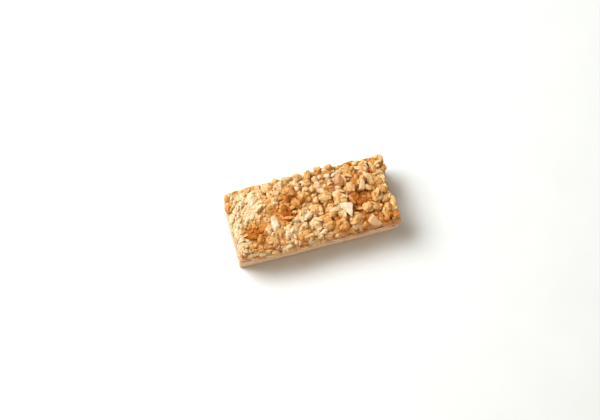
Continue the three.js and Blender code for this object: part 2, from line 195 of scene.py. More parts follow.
# Crumbs that hang on or over the cut sides: x, y, z, radius and tone.
EDGE_CRUMBS = np.array([
    (-57, 20, 28.4, 3.2, 0.6),
    (-58, 12.5, 27.4, 3.2, 0.85),
    (-34, 22.2, 28.2, 2.8, 0.35),
    (-26.5, 22.4, 28, 3.4, 0.3),
    (-20, 22.8, 28.6, 3.2, 0.4),
    (-14.5, 23, 28.8, 3.2, 0.3),
    (-9.5, 22.8, 28.6, 3.0, 0.5),
    (-4.5, 23, 29.8, 3.4, 0.35),
    (3, 22.8, 29.2, 3.6, 0.45),
    (11, 23.8, 30.6, 3.4, 0.6),
    (19.5, 23.6, 31, 3.2, 0.7),
    (57.2, 22, 30.4, 2.8, 0.5),
    (-55.5, -22, 24.2, 3.2, 0.55),
    (-50.5, -23.4, 22.6, 2.8, 0.35),
    (-46, -24.4, 22.4, 3.6, 0.75),
    (-39.5, -25, 21.4, 3.2, 0.3),
    (-33.5, -25.6, 22.6, 3.0, 0.45),
    (-28, -25.8, 20.6, 2.6, 0.6),
    (-24.5, -26, 22.6, 4.0, 0.3),
    (-18.5, -26, 21.2, 2.8, 0.5),
    (-14, -25.6, 22.8, 3.0, 0.75),
    (-8.5, -25.8, 22.0, 2.8, 0.7),
    (-3.2, -25.4, 23.6, 3.0, 0.45),
    (2, -25.4, 22.4, 2.2, 0.2),
    (6.5, -24.0, 25.2, 3.2, 0.5),
    (12.5, -24.4, 24.4, 2.6, 0.35),
    (17.5, -24.2, 25, 3.6, 0.6),
    (24, -24.4, 24.2, 2.6, 0.4),
    (30.5, -24.4, 24.0, 2.8, 0.25),
    (51, -23.8, 24.4, 2.8, 0.65),
    (55, -22.4, 24.4, 3.0, 0.5),
])

# Crumbs on the top that stand out: x, y, how far above the mean they reach, radius and tone.
TOP_CRUMBS = np.array([
    (-42.6, -10.8, 1.6, 3.6, 0.9),
    (-47.4, -11.2, 1.3, 3.0, 1.0),
    (-45, -6.4, 1.2, 2.8, 0.7),
    (-40.2, -15, 0.8, 2.4, 0.75),
    (-53.9, 3.3, 0.6, 2.2, 0.9),
    (-50.5, -4.5, 0.6, 2.4, 0.2),
    (-37.5, 6.5, 1.4, 2.6, 0.15),
])

# Pale chips: name, centre, thickness, tips about X and Y in degrees, corners from the centre, tint.
CHIPS = [
    (
        "apple_piece_1", (24, -10, 30.9), 3.6, (10, -8),
        [(-4.5, 5.1), (5.2, 3), (1.9, -7.6), (-3.9, 1.2)], 0.08,
    ),
    (
        "apple_piece_2", (41, -22, 26.2), 5.6, (32, 6),
        [(-0.6, 5), (-5, 0.4), (-1.4, -4), (5.8, -3.6)], 0.3,
    ),
    (
        "nut_piece_1", (39, 4.8, 31.4), 3.0, (0, 18),
        [(-3.4, -3.6), (0.8, 5), (2.6, 2.6), (0.8, -4.6)], 0.4,
    ),
    (
        "nut_piece_2", (30.4, 4.4, 30.8), 4.0, (-6, 10),
        [(-2.4, 4.4), (1.6, 4.1), (3.8, 0), (2.2, -4.2), (-3.6, -2.6)], 0.9,
    ),
]
CHIP_CORNER, CHIP_EDGE = 1.4, 0.6  # how far corners and edges are rounded

# Pale lumps: name, number, centre, half sizes along the lump, turn in degrees, tint, how crumbly
# it is and how deep the ridges along it are.
LUMPS = [
    ("apple_piece_3", 902, (23.8, 12, 31.2), (3.3, 4.1, 2.7), 0, 0.65, 0.15, 0.0),
    ("apple_piece_4", 903, (38.8, -12.4, 29.9), (3.8, 3.9, 3), 50, 1.0, 1.0, 0.0),
    ("nut_piece_3", 906, (-28.8, -8.6, 30.1), (2.9, 6, 2.7), 4, 0.1, 0.1, 0.04),
    ("nut_piece_4", 907, (-34.2, -11.4, 29.4), (3, 4.2, 2.4), -6, 0.6, 0.4, 0.0),
]

# Tips of the pale pieces that stay free of crumbs: x, y.
PALE_TIPS = np.array([(45.2, -23.8), (43.5, -20.5), (37.5, -21.8), (25.4, -14.5), (27.5, -8)])

# ---- The photograph's view --------------------------------------------------------------------

CAMERA_AZIMUTH, CAMERA_ELEVATION = -15.03, 70.0  # degrees
CAMERA_DISTANCE = 1.1  # metres
CAMERA_TARGET = Vector((-0.006, 0.0084, 0))  # metres
LENS, SENSOR = 89.7, 36.0


# ---- Numbers drawn and noise ------------------------------------------------------------------


def draw(item, what):
    """A draw from 0 to 1 by an item's number: the fraction of 43758.5453 sin(a item + b what)."""
    s = np.sin(item * 12.9898 + what * 78.233 + SEED) * 43758.5453
    return s - np.floor(s)


def draw_from(limits, item, what):
    """A draw between two limits."""
    return limits[0] + (limits[1] - limits[0]) * draw(item, what)


def smooth(value, low, high):
    """0 below low, 1 above high, and 3t^2 - 2t^3 between."""
    t = np.clip((value - low) / (high - low), 0, 1)
    return t * t * (3 - 2 * t)


def hashed(cell, what):
    """A draw from 0 to 1 for each whole-numbered cell: its numbers mixed by odd factors and shifts."""
    c = cell.astype(np.int64).astype(np.uint32)
    mixed = (
        (c[..., 0] * np.uint32(73856093))
        ^ (c[..., 1] * np.uint32(19349663))
        ^ (c[..., 2] * np.uint32(83492791))
        ^ np.uint32(what * 2654435761 % 2**32)
    )
    for shift, factor in ((15, 2246822519), (13, 3266489917)):
        mixed = (mixed ^ (mixed >> np.uint32(shift))) * np.uint32(factor)
    return (mixed ^ (mixed >> np.uint32(16))) / 2.0**32


def noise(points, size, what):
    """Smooth noise from -1 to 1: draws at the corners of cubes of that size, blended by 3t^2 - 2t^3."""
    p = points / np.asarray(size)
    low = np.floor(p)
    t = p - low
    t = t * t * (3 - 2 * t)
    total = np.zeros(p.shape[:-1])
    for corner in np.ndindex(2, 2, 2):
        offset = np.array(corner)
        total += np.prod(np.where(offset, t, 1 - t), axis=-1) * hashed(low + offset, what)
    return 2 * total - 1


def cells(points, size, what):
    """Of scattered points, one in each cube of that size: how far the nearest one is, how much
    further the next is and the way from the nearest one, all in sizes, and its own draw."""
    p = points / np.asarray(size)
    low = np.floor(p)
    nearest = np.full(p.shape[:-1], 9.0)
    second = nearest.copy()
    own = np.zeros_like(nearest)
    way = np.zeros_like(p)
    for corner in np.ndindex(3, 3, 3):
        cell = low + np.array(corner) - 1
        seed = cell + np.stack([hashed(cell, what + k) for k in range(3)], -1)
        distance = np.linalg.norm(p - seed, axis=-1)
        closer = distance < nearest
        second = np.where(closer, nearest, np.minimum(second, distance))
        own = np.where(closer, hashed(cell, what + 3), own)
        way = np.where(closer[..., None], p - seed, way)
        nearest = np.where(closer, distance, nearest)
    return nearest, second - nearest, way, own


def cobbles(points, size, what):
    """Relief like crumbs pressed together, 0 in the creases and 1 on the crowns: for a cell of that
    size, 0.65 sqrt(1 - d^2 / 0.81) and 0.35 of the way in from its border."""
    near, border, _, _ = cells(points, size, what)
    crown = np.sqrt(np.clip(1 - (near / 0.9) ** 2, 0, 1))
    return 0.65 * crown + 0.35 * np.clip(border / 0.3, 0, 1)


def broken(points, size, what):
    """Relief like broken crumb, about -1 to 1, and its clefts, 0 to 1: each cell of that size is a
    flat face with a tilt and a level of its own, and a cleft runs where two cells meet."""
    _, border, way, own = cells(points, size, what)
    tilt = 2 * ((own[..., None] * np.array([17.3, 41.7, 73.1])) % 1) - 1
    level = (own * 97.7) % 1 - 0.5
    cleft = np.clip(1 - border / 0.16, 0, 1)
    return 1.1 * (tilt * way).sum(-1) + 0.9 * level - 0.45 * cleft, cleft


def pores(points, size, what, share):
    """Round pits, 0 outside and 1 at their deepest, in that share of cells of that size."""
    near, _, _, own = cells(points, size, what)
    radius = 0.15 + 0.4 * np.clip(own / share, 0, 1)
    return np.where(own < share, np.clip(1 - (near / radius) ** 2, 0, 1), 0)


# ---- The slice's rules, as in the solids ------------------------------------------------------


def wave(x, y, phase):
    """A slow rise and fall from -1 to 1 over the slice: three sines of x and y."""
    along = np.sin(x * 0.11 + phase) + np.sin(x * 0.057 + y * 0.13 + phase * 2.3)
    return 0.4 * along + 0.2 * np.sin(y * 0.31 - x * 0.19 + phase * 1.7)


def base_top(x, y):
    """How high the base ends."""
    return BASE_TOP + BASE_WAVE * wave(x, y, 0.6)


def filling_top(x, y):
    """How high the cooked apple ends."""
    return FILLING_TOP + FILLING_WAVE * wave(x, y, 2.1)


def crumb_surface(x, y):
    """The height that clumps reach: level in the middle, falling by a smooth step at the rim."""
    inwards = np.minimum(LENGTH / 2 - np.abs(x), WIDTH / 2 - np.abs(y))
    drop = EDGE_DROP * (1 - smooth(inwards, 0, EDGE_REACH))
    return CRUMB_TOP - drop + CRUMB_WAVE * wave(x, y, 3.4)


def bulge(z):
    """Evenly from 0 at the foot to 1 at the apple, and back to 0 in the streusel."""
    return np.clip(z / BELLY_WIDEST, 0, 1) * (1 - smooth(z, *BELLY_BACK))


def belly(x, z):
    """How far a long side stands out over its foot, less at the left end."""
    return BELLY * bulge(z) * smooth(x, *BELLY_ALONG)


def left_front(y):
    """1 in the front part of the left end, 0 in its back part."""
    return 1 - smooth(y, *LEFT_FRONT)


def cut_planes(x, y, z, streusel):
    """The furthest left, right, front and back of the slice at a place and height. The left end's
    swell is in the dressing alone."""
    off = np.abs(y - NOTCH_Y) / NOTCH_HALF_WIDTH
    notch = NOTCH_DEPTH * (1 - smooth(off, 0.3, 1)) if streusel else 0
    side = WIDTH / 2 - LEAN_SIDE * z + belly(x, z)
    swell = LEFT_SWELL * bulge(z) - LEFT_LEAN * smooth(z, *LEFT_LEAN_UP) * left_front(y)
    return -LENGTH / 2 + LEAN_LEFT * z - swell, LENGTH / 2 - LEAN_RIGHT * z - notch, -side, side


def soaked(points):
    """How much juice from the apple a point took up: all at the filling, none 3 mm above it."""
    above = points[..., 2] - filling_top(points[..., 0], points[..., 1])
    return 1 - smooth(above + 0.8 * noise(points, 3.0, 45), 0.3, 3.0)


def onto_cut(x, y, z, inset, streusel):
    """Plan points moved in to the cut sides at a height, and on towards the middle by an inset."""
    left, right, _, back = cut_planes(x, y, z, streusel)
    half = np.where(x > 0, right, -left)
    return x * (half - inset) / (LENGTH / 2), y * (back - inset) / (WIDTH / 2)


def scatter(n, margin, start):
    """The n-th place of an even scatter over the top: fractions of n / P and n / P^2."""
    across = (start + n / PLASTIC) % 1
    along = (start * 1.7 + n / PLASTIC**2) % 1
    return (along - 0.5) * (LENGTH - 2 * margin), (across - 0.5) * (WIDTH - 2 * margin)


def round_corners(x, y):
    """Draws the square at each corner of the plan into a quarter disc: (a, b) goes to
    (a, b) max(a, b) / sqrt(a^2 + b^2)."""
    a = np.maximum(np.abs(x) - (LENGTH / 2 - CORNER), 0)
    b = np.maximum(np.abs(y) - (WIDTH / 2 - CORNER), 0)
    factor = np.maximum(a, b) / np.maximum(np.hypot(a, b), 1e-9)
    both = (a > 0) & (b > 0)
    return (
        x - np.sign(x) * np.where(both, a * (1 - factor), 0),
        y - np.sign(y) * np.where(both, b * (1 - factor), 0),
    )


# ---- Meshes -----------------------------------------------------------------------------------


def make_piece(name, points, faces, values, slot, nodes):
    """A mesh piece from points in mm, arrays of faces and named values at the points."""
    points = points.reshape(-1, 3)
    mesh = bpy.data.meshes.new(name)
    mesh.vertices.add(len(points))
    mesh.vertices.foreach_set("co", (points * 0.001).astype(np.float32).ravel())
    corners = np.concatenate([f.ravel() for f in faces])
    sides = np.concatenate([np.full(len(f), f.shape[1]) for f in faces])
    mesh.loops.add(len(corners))
    mesh.loops.foreach_set("vertex_index", corners.astype(np.int32))
    mesh.polygons.add(len(sides))
    mesh.polygons.foreach_set("loop_start", (np.cumsum(sides) - sides).astype(np.int32))
    for key, value in values.items():
        attribute = mesh.attributes.new(key, "FLOAT", "POINT")
        attribute.data.foreach_set("value", np.asarray(value, np.float32).ravel())
    mesh.update(calc_edges=True)
    mesh.validate()
    mesh.shade_smooth()
    piece = bpy.data.objects.new(name, mesh)
    bpy.context.scene.collection.objects.link(piece)
    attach(piece, "root")
    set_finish(piece, slot)
    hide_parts(*nodes)


def grid_faces(rows, columns, closed):
    """Quads of a grid of rows by columns of points, whose columns may close round on themselves."""
    i, j = np.meshgrid(np.arange(rows - 1), np.arange(columns - (not closed)), indexing="ij")
    a, b = i * columns + j, i * columns + (j + 1) % columns
    return np.stack([a, b, b + columns, a + columns], -1).reshape(-1, 4)


def cube_sphere(steps):
    """Directions and quads of a ball: on each side of a cube (u, v) from -1 to 1 goes to
    (tan(u pi / 4), tan(v pi / 4), 1) and is drawn out to unit length; shared edges are merged."""
    t = np.tan(np.linspace(-1, 1, steps + 1) * np.pi / 4)
    u, v = np.meshgrid(t, t, indexing="ij")
    sides, quads = [], []
    for side in range(6):
        axis, sign = side // 2, 1 - 2 * (side % 2)
        points = np.roll(np.stack([np.full_like(u, sign), u, v], -1), axis, axis=-1)
        faces = grid_faces(steps + 1, steps + 1, False) + side * u.size
        sides.append(points.reshape(-1, 3))
        quads.append(faces if sign < 0 else faces[:, ::-1])
    points = np.concatenate(sides)
    _, first, merged = np.unique(np.round(points * 1e6), axis=0, return_index=True, return_inverse=True)
    points = points[first]
    return (
        points / np.linalg.norm(points, axis=1, keepdims=True),
        merged.ravel()[np.concatenate(quads)],
    )


# ---- Crumbs -----------------------------------------------------------------------------------


def crumbs(item, x, y, z, size, tone, form, lobes=None):
    """Crumbs as arrays: their places, half sizes, turns and tips, all drawn by their numbers."""
    long, wide, high, tip, faces, distance = form
    share = np.stack([draw_from(long, item, 1), draw_from(wide, item, 2), draw_from(high, item, 16)], -1)
    return {
        "item": item,
        "place": np.stack([x, y, z], -1),
        "size": size,
        "half": share * size[:, None],
        "turn": 2 * np.pi * draw(item, 3),
        "tip": draw_from((-tip, tip), item, 4),
        "slack": draw_from(CRUMB_SLACK, item, 5),
        "overhang": np.full(len(item), OVERHANG),
        "tone": tone,
        "lobes": np.zeros(len(item), int) if lobes is None else lobes,
        "faces": faces,
        "distance": distance,
    }


def together(kinds):
    """Several groups of crumbs of one form as one group."""
    same = {key: kinds[0][key] for key in ("faces", "distance")}
    return {key: np.concatenate([k[key] for k in kinds]) for key in kinds[0] if key not in same} | same


def spread(item, several, most, what, lowest):
    """Directions from straight up down to a lowest one, on a golden spiral that is shaken."""
    i = np.arange(most)
    item, several = item[:, None], several[:, None]
    share = (i + 0.5 + draw_from((-0.35, 0.35), item, what + i)) / several
    up = np.clip(1 - (1 - lowest) * share, -1, 1)
    around = 2 * np.pi * (i * GOLDEN + draw_from((0, 0.35), item, what + 20 + i))
    flat = np.sqrt(1 - up**2)
    return np.stack([flat * np.cos(around), flat * np.sin(around), up], -1)


def reach_of(directions, c):
    """How far a crumb reaches: (sum (facing / distance)^24 + 1.12^-24)^(-1/24) over its flat faces,
    then swollen by 1 + 0.12 (2 exp((cos - 1) / 0.12) - 1) for the lobe that is nearest."""
    item = c["item"]
    toward = spread(item, np.full(len(item), c["faces"]), c["faces"], 20, -1)
    distance = draw_from(c["distance"], item[:, None], 60 + np.arange(c["faces"]))
    facing = np.maximum(np.einsum("vk,nfk->nvf", directions, toward), 0) / distance[:, None]
    reach = ((facing**FACE_SHARPNESS).sum(-1) + FACE_ROUND**-FACE_SHARPNESS) ** (-1 / FACE_SHARPNESS)
    lobes = c["lobes"]
    if lobes.any():
        towards = spread(item, np.maximum(lobes, 1), lobes.max(), 70, -0.3)
        near = np.exp((np.einsum("vk,nfk->nvf", directions, towards) - 1) / LOBE_WIDTH)
        near = np.where(np.arange(lobes.max()) < lobes[:, None, None], near, 0).max(-1)
        reach = reach * np.where(lobes[:, None] > 0, 1 + LOBE_DEPTH * (2 * near - 1), 1)
    return reach


def turns(c):
    """A turn matrix for each crumb: about X by its tip, about Y by 0.6 of it, then about Z."""
    ca, sa = np.cos(c["tip"]), np.sin(c["tip"])
    cb, sb = np.cos(c["tip"] * 0.6), np.sin(c["tip"] * 0.6)
    cc, sc = np.cos(c["turn"]), np.sin(c["turn"])
    o, i = np.zeros_like(ca), np.ones_like(ca)
    about_x = np.stack([i, o, o, o, ca, -sa, o, sa, ca], -1).reshape(-1, 3, 3)
    about_y = np.stack([cb, o, sb, o, i, o, -sb, o, cb], -1).reshape(-1, 3, 3)
    about_z = np.stack([cc, -sc, o, sc, cc, o, o, o, i], -1).reshape(-1, 3, 3)
    return about_z @ about_y @ about_x


def crowded_up(directions):
    """Ball directions drawn upwards, so that more points lie where a crumb shows."""
    raised = directions + np.array([0, 0, 0.35])
    return raised / np.linalg.norm(raised, axis=1, keepdims=True)


def lumps(c, steps, relief=1.0):
    """The crumbs' surfaces, (crumbs, points, 3) in mm, their quads, and how deep in a cleft each
    point lies, which sets painted shade. Each is a ball drawn out to its reach, then broken into
    faces of 3.2 and 1.4 mm and grained."""
    directions, quads = cube_sphere(steps)
    directions = crowded_up(directions)
    reached = directions * reach_of(directions, c)[..., None] * c["half"][:, None]
    turned = np.einsum("nij,nvj->nvi", turns(c), reached)
    outwards = turned / np.linalg.norm(turned, axis=-1, keepdims=True)
    points = c["place"][:, None] + turned
    depth = relief * np.minimum(c["size"] / 4.5, 1)[:, None]
    large, large_cleft = broken(points, 3.2, 11)
    small, small_cleft = broken(points, 1.4, 17)
    grain = noise(points, 0.8, 23)
    points = points + outwards * (depth * (0.46 * large + 0.07 * small + 0.05 * grain))[..., None]
    # Painted shade: darker in the clefts and on the lower broken faces.
    crease_shade = 0.35 * large_cleft + 0.1 * small_cleft - 0.22 * large
    faces = quads + (np.arange(len(c["item"])) * len(directions))[:, None, None]
    return points, faces.reshape(-1, 4), crease_shade


def trim(points, slack, overhang):
    """Draws in what a crumb has past the cut sides or below the streusel, and pits the cut. Returns
    the points and how much each shows a cut: less so on the long sides, where crumbs broke away,
    and everywhere along the front part of the left end."""
    dip = EDGE_DIP * np.maximum(overhang - OVERHANG, 0)[:, None] * smooth(-points[..., 0], *DIP_ALONG)
    foot = filling_top(points[..., 0], points[..., 1]) - 0.1 - dip
    z = np.maximum(points[..., 2], foot)
    left, right, front, back = cut_planes(points[..., 0], points[..., 1], z, True)
    crumbled, _ = broken(points, 1.9, 33)
    slack = slack[:, None] + 0.5 * pores(points, 1.7, 31, 0.7) + 0.3 * crumbled
    slack = slack + 0.22 * noise(points, 0.8, 37)
    past_x = points[..., 0] - np.clip(points[..., 0], left + slack, right - slack)
    past_y = points[..., 1] - np.clip(points[..., 1], front + slack, back - slack)
    x = points[..., 0] - (1 - overhang[:, None]) * past_x
    y = points[..., 1] - (1 - overhang[:, None]) * past_y
    cut = np.maximum(smooth(np.abs(past_x), 0.4, 1.6), 0.25 * smooth(np.abs(past_y), 0.4, 1.6))
    cut = np.maximum(cut, 0.9 * (1 - smooth(x - left, 1.0, 3.2)) * left_front(y))
    return np.stack([x, y, z], -1), cut * (1 - overhang[:, None])


# ---- Where the crumbs lie ---------------------------------------------------------------------

pale_places = np.array([c[1][:2] for c in CHIPS] + [p[2][:2] for p in LUMPS], float)
pale_parts = np.concatenate([pale_places, PALE_TIPS])


def clear_of(x, y, places, least):
    """Whether one plan point is at least so far from all the places."""
    return (np.hypot(places[:, 0] - x, places[:, 1] - y) >= least).all()


def apart(x, y, places):
    """How far each plan point is from each of the places."""
    return np.hypot(x[:, None] - places[:, 0], y[:, None] - places[:, 1])


def clump_places():
    """The named clumps, then more by the even scatter, wherever there is room: rows of x, y, lift,
    radius and tone."""
    found = list(NAMED_CLUMPS)
    for n in range(260):
        x, y = scatter(n, 3, 0.31)
        lift = draw_from((-1.1, 0.7), n, 15)
        reach = draw_from((3.3, 5), n, 16)
        known = np.array(found)
        room = clear_of(x, y, known, CLUMP_SPACING * (known[:, 3] + reach))
        if room and clear_of(x, y, pale_places, PALE_REACH + 0.65 * reach):
            found.append(np.array([x, y, lift, reach, ground_tone(x, y, n)]))
    return np.array(found)


def ground_tone(x, y, item):
    """How brown the streusel is at a place: paler at the left end, with patches, and a draw."""
    place = np.stack(np.broadcast_arrays(x, y, 0.0), -1)
    tone = TONE + TONE_RISE * smooth(x, *TONE_ALONG) + 0.16 * noise(place, 11, 41)
    for px, py, radius, change in PATCHES:
        tone = tone + change * np.exp(-((x - px) ** 2 + (y - py) ** 2) / radius**2)
    return np.clip(tone + 0.55 * (draw(item, 8) - 0.5), 0, 1)


def solid_clumps(places):
    """The clumps that the solids have too."""
    item = 1000 + np.arange(len(places))
    x, y, lift, reach, tone = places.T
    z = crumb_surface(x, y) + lift - CLUMP_SINK * reach
    lobes = np.floor(draw_from(LOBES, np.arange(len(places)), 12) + 0.5).astype(int)
    return crumbs(item, x, y, z, reach, tone, CLUMP, lobes)


def filled_in(places, tries, start, reach, spacing, what):
    """Further clumps in the room that is left, by an even scatter with smaller and smaller radii."""
    found = list(places)
    for n in range(tries):
        x, y = scatter(n, 1.2, start)
        size = reach[1] + (reach[0] - reach[1]) * n / tries
        known = np.array(found)
        room = clear_of(x, y, known, spacing * (known[:, 3] + size))
        open_gap = clear_of(x, y, GAPS[:, :2], GAPS[:, 2] + 0.5 * size)
        if room and open_gap and clear_of(x, y, pale_parts, 2.2 + 0.7 * size):
            lift = draw_from((-1.9, 0.1), n, what)
            found.append(np.array([x, y, lift, size, ground_tone(x, y, n + what * 1000)]))
    return np.array(found[len(places):])


def map_cell(high, x, y):
    """The cell of a height map of 0.5 mm over which a plan point lies."""
    i = np.clip(np.rint((x + LENGTH / 2) * 2).astype(int), 0, high.shape[0] - 1)
    j = np.clip(np.rint((y + WIDTH / 2) * 2).astype(int), 0, high.shape[1] - 1)
    return i, j


def height_map(surfaces):
    """The highest surface over the slice's plan."""
    points = np.concatenate([s.reshape(-1, 3) for s in surfaces])
    high = np.full((int(LENGTH * 2) + 3, int(WIDTH * 2) + 3), FILLING_TOP)
    np.maximum.at(high, map_cell(high, points[:, 0], points[:, 1]), points[:, 2])
    return high


def height_at(high, x, y):
    """What a height map says over a plan point."""
    return high[map_cell(high, x, y)]


# ---- Layers -----------------------------------------------------------------------------------


def rim(along, across):
    """The underside's outline as plan points, round from the front-left corner to the right: a
    rectangle's edge in equal steps, with its corners rounded."""
    x = np.linspace(-1, 1, along + 1)[:-1] * LENGTH / 2
    y = np.linspace(-1, 1, across + 1)[:-1] * WIDTH / 2
    loop_x = np.concatenate([x, np.full(across, LENGTH / 2), -x, np.full(across, -LENGTH / 2)])
    loop_y = np.concatenate([np.full(along, -WIDTH / 2), y, np.full(along, WIDTH / 2), -y])
    return round_corners(loop_x, loop_y)


def outwards_of(x, y):
    """Unit vectors out of a closed loop that runs anticlockwise: the tangent turned right."""
    tangent = np.stack([np.roll(x, -1) - np.roll(x, 1), np.roll(y, -1) - np.roll(y, 1)], -1)
    tangent /= np.linalg.norm(tangent, axis=-1, keepdims=True)
    return np.stack([tangent[:, 1], -tangent[:, 0]], -1)


def layer(bottom, top, rows, step):
    """A layer's skin as rows of points round the slice. Each row is (share up, inset, side): the
    share of the way from bottom to top, the inset towards the middle, and how far it is a side and
    not a cap. Returns the points, the ways out, the side shares and the faces with both caps."""
    x, y = rim(round(LENGTH / step), round(WIDTH / step))
    share, inset, side = (np.array(column)[:, None] for column in zip(*rows))
    low, high = bottom(x, y), top(x, y)
    z = low + (high - low) * share
    px, py = onto_cut(x, y, z, inset, False)
    out = np.broadcast_to(outwards_of(x, y), (len(rows), len(x), 2))
    last = (len(rows) - 1) * len(x)
    around = np.arange(len(x))
    faces = [grid_faces(len(rows), len(x), True), around[None, ::-1], last + around[None]]
    return np.stack([px, py, z], -1), out, np.broadcast_to(side, z.shape), faces


def side_rows(count, foot, inner):
    """Rows for a layer: in on the underside, up the side, and in on top."""
    rows = [(0, inset, 0) for inset in foot]
    rows += [(share, 0, 1) for share in np.linspace(0, 1, count)]
    return rows + [(1, inset, 0) for inset in inner]


def worn_corner(x, y, z):
    """Rounds the front right corner of the underside by a radius of 6.5 mm that fades out upwards."""
    radius = 1.2 + 5.3 * (1 - smooth(z, 1, 11))
    a = np.maximum(x - (LENGTH / 2 - LEAN_RIGHT * z - radius), 0)
    b = np.maximum(-y - (WIDTH / 2 - LEAN_SIDE * z + belly(x, z) - radius), 0)
    reach = np.maximum(np.hypot(a, b), 1e-9)
    pull = np.where((a > 0) & (b > 0), np.maximum(reach - radius, 0) / reach, 0)
    return x - a * pull, y + b * pull


def baked_base():
    """The pale base: a crumb with round pores and faint drag marks of the knife, and a firmer,
    browned foot."""
    rows = side_rows(42, (8, 3, 1.6, 1.0), (0.4, 1.2, 3, 6))
    points, out, side, faces = layer(lambda x, y: 0 * x, base_top, rows, 0.36)
    z = points[..., 2]
    points[..., 0], points[..., 1] = worn_corner(points[..., 0], points[..., 1], z)
    firm = smooth(z, 0.3, 2.2)
    broad = 0.35 * noise(points, (14, 14, 8), 51)
    grain = 0.12 * noise(points, 0.9, 52) + 0.08 * noise(points, 0.5, 53)
    drag = 0.08 * noise(points, (1.3, 1.3, 9), 54)
    bend = np.stack([noise(points, 1.8, 57 + k) for k in range(3)], -1)
    large = pores(points + 0.4 * bend, 3.0, 61, 0.35)
    middle = pores(points + 0.3 * bend, 1.7, 65, 0.6)
    small = pores(points, 1.0, 69, 0.65)
    crumbled, cleft = broken(points, 1.9, 73)
    depth = firm * (0.6 * large + 0.42 * middle + 0.26 * small - 0.2 * crumbled)
    foot = 0.1 + 0.8 * np.clip(1 - z / 1.6, 0, 1) ** 2
    shift = side * (broad * firm + grain * (0.3 + 0.7 * firm) + drag * firm - depth - foot)
    points[..., :2] += out * shift[..., None]
    points[..., 2] += (1 - side) * (z > 1) * 0.2 * noise(points, 1.1, 68)
    # Painted shade: how deep in a pore or cleft each point lies.
    crease_shade = np.clip(0.8 * large + 0.65 * middle + 0.45 * small + 0.15 * cleft, 0, 1) * firm
    make_piece("baked_base", points, faces, {"crease_shade": crease_shade}, "cake_base", ["cake_base"])


def apple_layer():
    """The cooked apple: soft pieces, 4 to 7 mm long, swell out of a grainy pulp here and there."""
    rows = side_rows(24, (4, 1), np.linspace(0.3, 7, 15))
    points, out, side, faces = layer(lambda x, y: base_top(x, y) - 0.05, filling_top, rows, 0.4)
    bend = np.stack([noise(points, 4.5, 71 + k) for k in range(3)], -1) * np.array([1.5, 1.5, 0.8])
    near, border, _, own = cells(points + bend, (6.5, 6.5, 3.8), 74)
    whole = smooth(own, 0.5, 0.56) * smooth(0.72 - near, 0, 0.22) * smooth(border, 0, 0.25)
    swell = whole * np.sqrt(np.clip(1 - (near / 0.8) ** 2, 0, 1))
    pulp = (1 - whole) * (0.6 * cobbles(points + 0.5 * bend, 2.1, 78) + 0.4 * cobbles(points, 1.1, 80))
    limp = 0.4 * noise(points, 4, 82)
    shift = 0.9 * swell + 0.6 * pulp + limp + 0.1 * noise(points, 0.7, 83) - 0.8
    points[..., :2] += out * (side * shift)[..., None]
    points[..., 2] += (1 - side) * (points[..., 2] > 16) * 0.7 * shift
    # Darker in the gaps between pieces and pulp crowns: partly painted shade, partly brown juice.
    values = {"crease_shade": np.clip(1 - whole - 1.3 * pulp, 0, 1), "whole": whole * (0.4 + 1.2 * (own - 0.5))}
    make_piece("apple_layer", points, faces, values, "apple_filling", ["apple_filling"])


def streusel_bed():
    """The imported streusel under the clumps: a height field of cobbles, higher and finer where it is
    fused in the left part, closed by sides and a floor."""
    along, across, down = 250, 100, 22
    u, v = np.meshgrid(np.linspace(-1, 1, along + 1), np.linspace(-1, 1, across + 1), indexing="ij")
    x, y = round_corners(u * LENGTH / 2, v * WIDTH / 2)
    flat = np.stack([x, y, 0 * x], -1)
    fused = 1 - smooth(x, *FUSED_BED)
    bumps = (1.9 - 0.8 * fused) * cobbles(flat, 3.4, 81) + (0.8 + 0.5 * fused) * cobbles(flat, 1.5, 87)
    specks = fused * pores(flat, 2.1, 89, 0.5)
    bumps = bumps + 0.25 * noise(flat, 0.7, 88) - 0.45 * specks
    z = crumb_surface(x, y) - BED_DEPTH + BED_RISE * fused + bumps
    for gx, gy, radius in GAPS:
        z = z - GAP_DEPTH * np.exp(-((x - gx) ** 2 + (y - gy) ** 2) / radius**2)
    px, py = onto_cut(x, y, z, BED_INSET, True)
    top = np.stack([px, py, z], -1)
    ids = np.arange(x.size).reshape(x.shape)
    loop = np.concatenate([ids[:-1, 0], ids[-1, :-1], ids[:0:-1, -1], ids[0, :0:-1]])
    lx, ly = x.ravel()[loop], y.ravel()[loop]
    share = np.linspace(0, 1, down)[1:, None]
    lz = z.ravel()[loop] * (1 - share) + (filling_top(lx, ly) - 0.3) * share
    sx, sy = onto_cut(lx, ly, lz, BED_INSET, True)
    side = np.stack([sx, sy, lz], -1)
    rough = 1.5 * cobbles(side, 2.8, 91) + 0.6 * cobbles(side, 1.2, 97) - 1.2
    side[..., :2] += outwards_of(lx, ly) * (rough * np.minimum(1, 4 * share))[..., None]
    points = np.concatenate([top.reshape(-1, 3), side.reshape(-1, 3)])
    rows = np.concatenate([loop[None], x.size + np.arange(side[..., 0].size).reshape(down - 1, -1)])
    ring = np.stack([rows[:-1], rows[1:], np.roll(rows[1:], -1, 1), np.roll(rows[:-1], -1, 1)], -1)
    quads = grid_faces(along + 1, across + 1, False)[:, ::-1]
    faces = [quads, ring.reshape(-1, 4), rows[-1][None, ::-1]]
    # Painted shade: darker in the low places of the top and between the cobbles of the sides.
    top_shade, side_shade = np.clip(1.25 - bumps / 2.2, 0, 1), np.clip(0.7 - 0.6 * rough, 0, 1)
    crease_shade = np.concatenate([top_shade.ravel(), side_shade.ravel()])
    end = np.abs(side[..., 0]) > LENGTH / 2 - 6
    cut = np.concatenate([np.zeros(x.size), np.where(end, 0.5, 0.1).ravel()])
    tone = ground_tone(points[:, 0], points[:, 1], np.zeros(len(points)))
    values = {"crease_shade": crease_shade, "cut": cut, "tone": tone + 0.05, "soaked": soaked(points)}
    make_piece("streusel_bed", points, faces, values, "streusel", ["streusel"])
    return points


# ---- Pieces of streusel -----------------------------------------------------------------------


